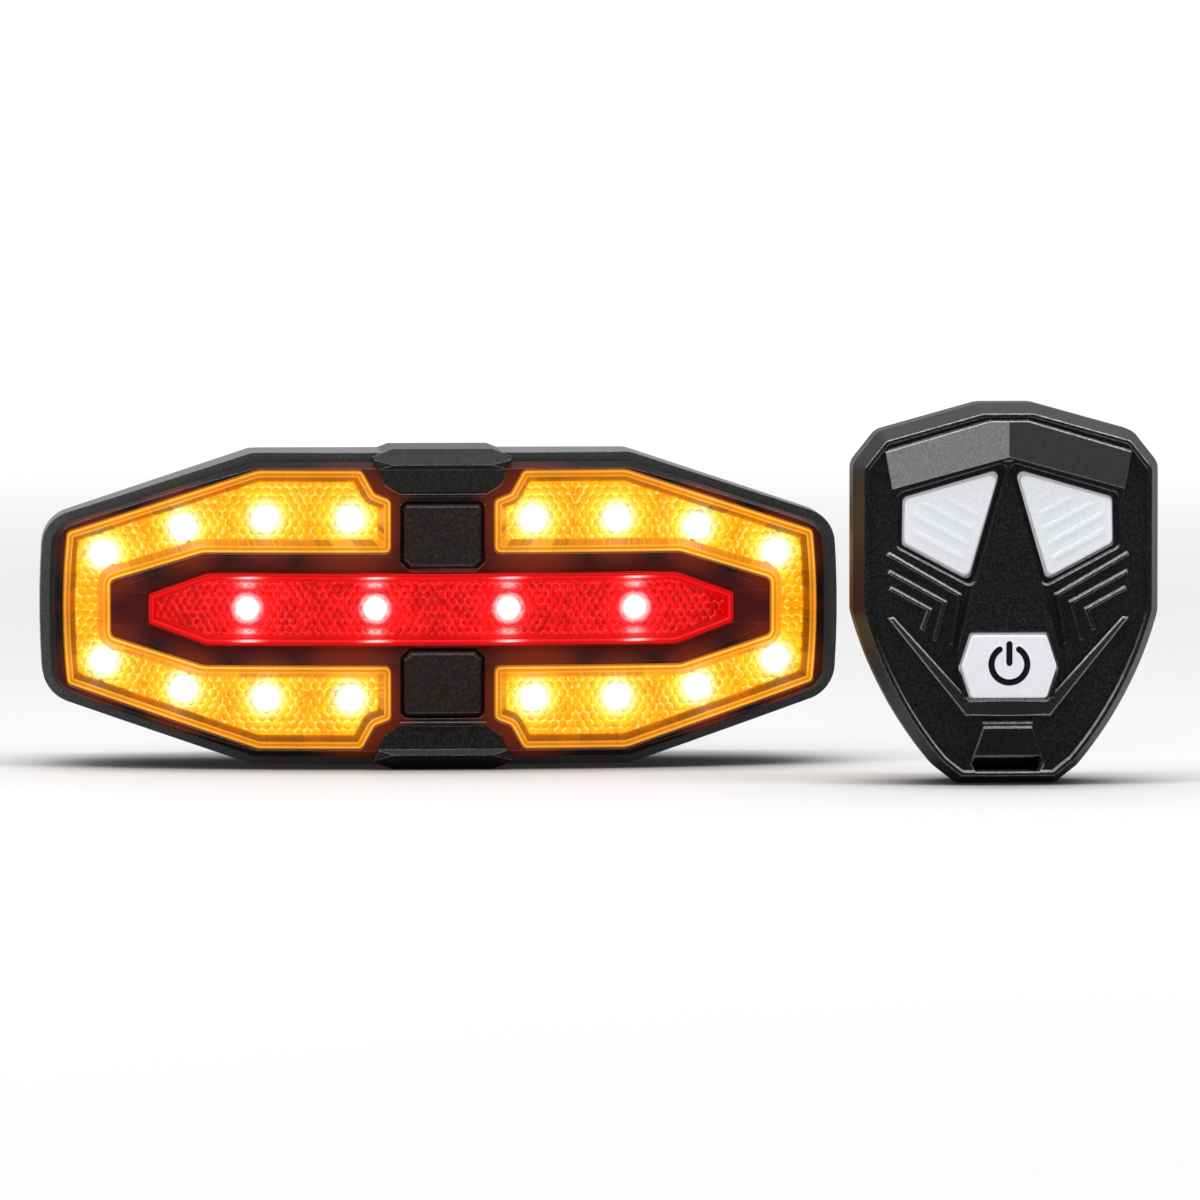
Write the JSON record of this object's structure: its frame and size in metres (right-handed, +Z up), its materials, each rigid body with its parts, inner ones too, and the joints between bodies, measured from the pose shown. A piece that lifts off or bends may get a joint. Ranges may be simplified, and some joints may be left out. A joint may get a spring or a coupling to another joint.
{
  "type": "bicycle turn signal light",
  "caption": "Bicycle tail lamp with amber turn windows round a red bar, push pads and a rear slide rail, with its shield-shaped wireless handlebar remote.",
  "frame": {"origin": "middle of the flat foot of the lamp's bottom cap", "axes": "+X to the rider's right as in the front view, -Y out of the lit front, +Z up"},
  "size_m": [0.1368, 0.0587, 0.0468],
  "materials": {
    "housing_black": "satin moulded",
    "bezel_black": "fine grained",
    "cap_black": "coarse grained",
    "pad_black": "grained",
    "seal_rubber": "matt",
    "amber_clear": "polished",
    "red_clear": "polished",
    "amber_optic": "pillow textured",
    "red_optic": "pillow textured",
    "amber_led": "lit",
    "red_led": "lit",
    "tray_white": "moulded",
    "board_green": "solder mask",
    "switch_black": "moulded",
    "plunger_white": "moulded",
    "shield_metal": "plain",
    "screw_steel": "plain",
    "cell_foil": "foil",
    "foam_grey": "cellular",
    "port_rubber": "matt",
    "remote_black": "moulded",
    "button_white": "translucent",
    "door_black": "moulded",
    "coin_cell_steel": "plain",
    "contact_brass": "plated",
    "chip_black": "moulded"
  },
  "bodies": {
    "lamp": {"lamp_rear_housing": "housing_black", "lamp_front_bezel": "bezel_black", "top_cap": "cap_black", "bottom_cap": "cap_black", "lamp_seal": "seal_rubber", "right_amber_lens": "amber_clear", "left_amber_lens": "amber_clear", "red_lens": "red_clear", "reflector_tray": "tray_white", "lamp_circuit_board": "board_green", "right_amber_optic": "amber_optic", "left_amber_optic": "amber_optic", "red_optic": "red_optic", "right_amber_leds": "amber_led", "left_amber_leds": "amber_led", "red_leds": "red_led", "lamp_switches": "switch_black", "radio_module": "shield_metal", "lamp_battery": "cell_foil", "battery_foam": "foam_grey", "charge_socket": "shield_metal", "port_cover_anchor": "port_rubber", "housing_screws": "screw_steel"},
    "lamp_power": {"lamp_power_button": "pad_black", "power_switch_plunger": "plunger_white"},
    "lamp_mode": {"lamp_mode_button": "pad_black", "mode_switch_plunger": "plunger_white"},
    "port_cover": {"charge_port_cover": "port_rubber"},
    "remote": {"remote_front_cover": "remote_black", "remote_back_cover": "remote_black", "door_seal": "seal_rubber", "remote_circuit_board": "board_green", "remote_switches": "switch_black", "remote_radio_chip": "chip_black", "coin_cell": "coin_cell_steel", "negative_contact": "contact_brass", "positive_contact": "contact_brass", "remote_screws": "screw_steel"},
    "left_turn": {"left_turn_button": "button_white", "left_switch_plunger": "plunger_white"},
    "right_turn": {"right_turn_button": "button_white", "right_switch_plunger": "plunger_white"},
    "remote_power": {"remote_power_button": "button_white", "centre_switch_plunger": "plunger_white"},
    "battery_door": {"coin_door": "door_black"}
  },
  "joints": [
    {"name": "lamp_power_press", "type": "slide", "parent": "lamp", "child": "lamp_power", "axis": [0, 1, 0], "range_m": [0, 0.0006], "stiffness_N_per_m": 800},
    {"name": "lamp_mode_press", "type": "slide", "parent": "lamp", "child": "lamp_mode", "axis": [0, 1, 0], "range_m": [0, 0.0006], "stiffness_N_per_m": 800},
    {"name": "port_cover_swing", "type": "hinge", "parent": "lamp", "child": "port_cover", "pos_m": [0.0247, 0.0142, 0.02], "axis": [0, 0, 1], "range_deg": [0, 90], "stiffness_Nm_per_rad": 0.0006},
    {"name": "remote_carry", "type": "slide", "parent": "lamp", "child": "remote", "axis": [1, 0, 0], "range_m": [0, 0.04]},
    {"name": "left_turn_press", "type": "slide", "parent": "remote", "child": "left_turn", "axis": [0, 1, 0], "range_m": [0, 0.00045], "stiffness_N_per_m": 800},
    {"name": "right_turn_press", "type": "slide", "parent": "remote", "child": "right_turn", "axis": [0, 1, 0], "range_m": [0, 0.00045], "stiffness_N_per_m": 800},
    {"name": "remote_power_press", "type": "slide", "parent": "remote", "child": "remote_power", "axis": [0, 1, 0], "range_m": [0, 0.00045], "stiffness_N_per_m": 800},
    {"name": "coin_door_turn", "type": "hinge", "parent": "remote", "child": "battery_door", "pos_m": [0.068, -0.026, 0.0225], "axis": [0, 1, 0], "range_deg": [0, 60]}
  ]
}
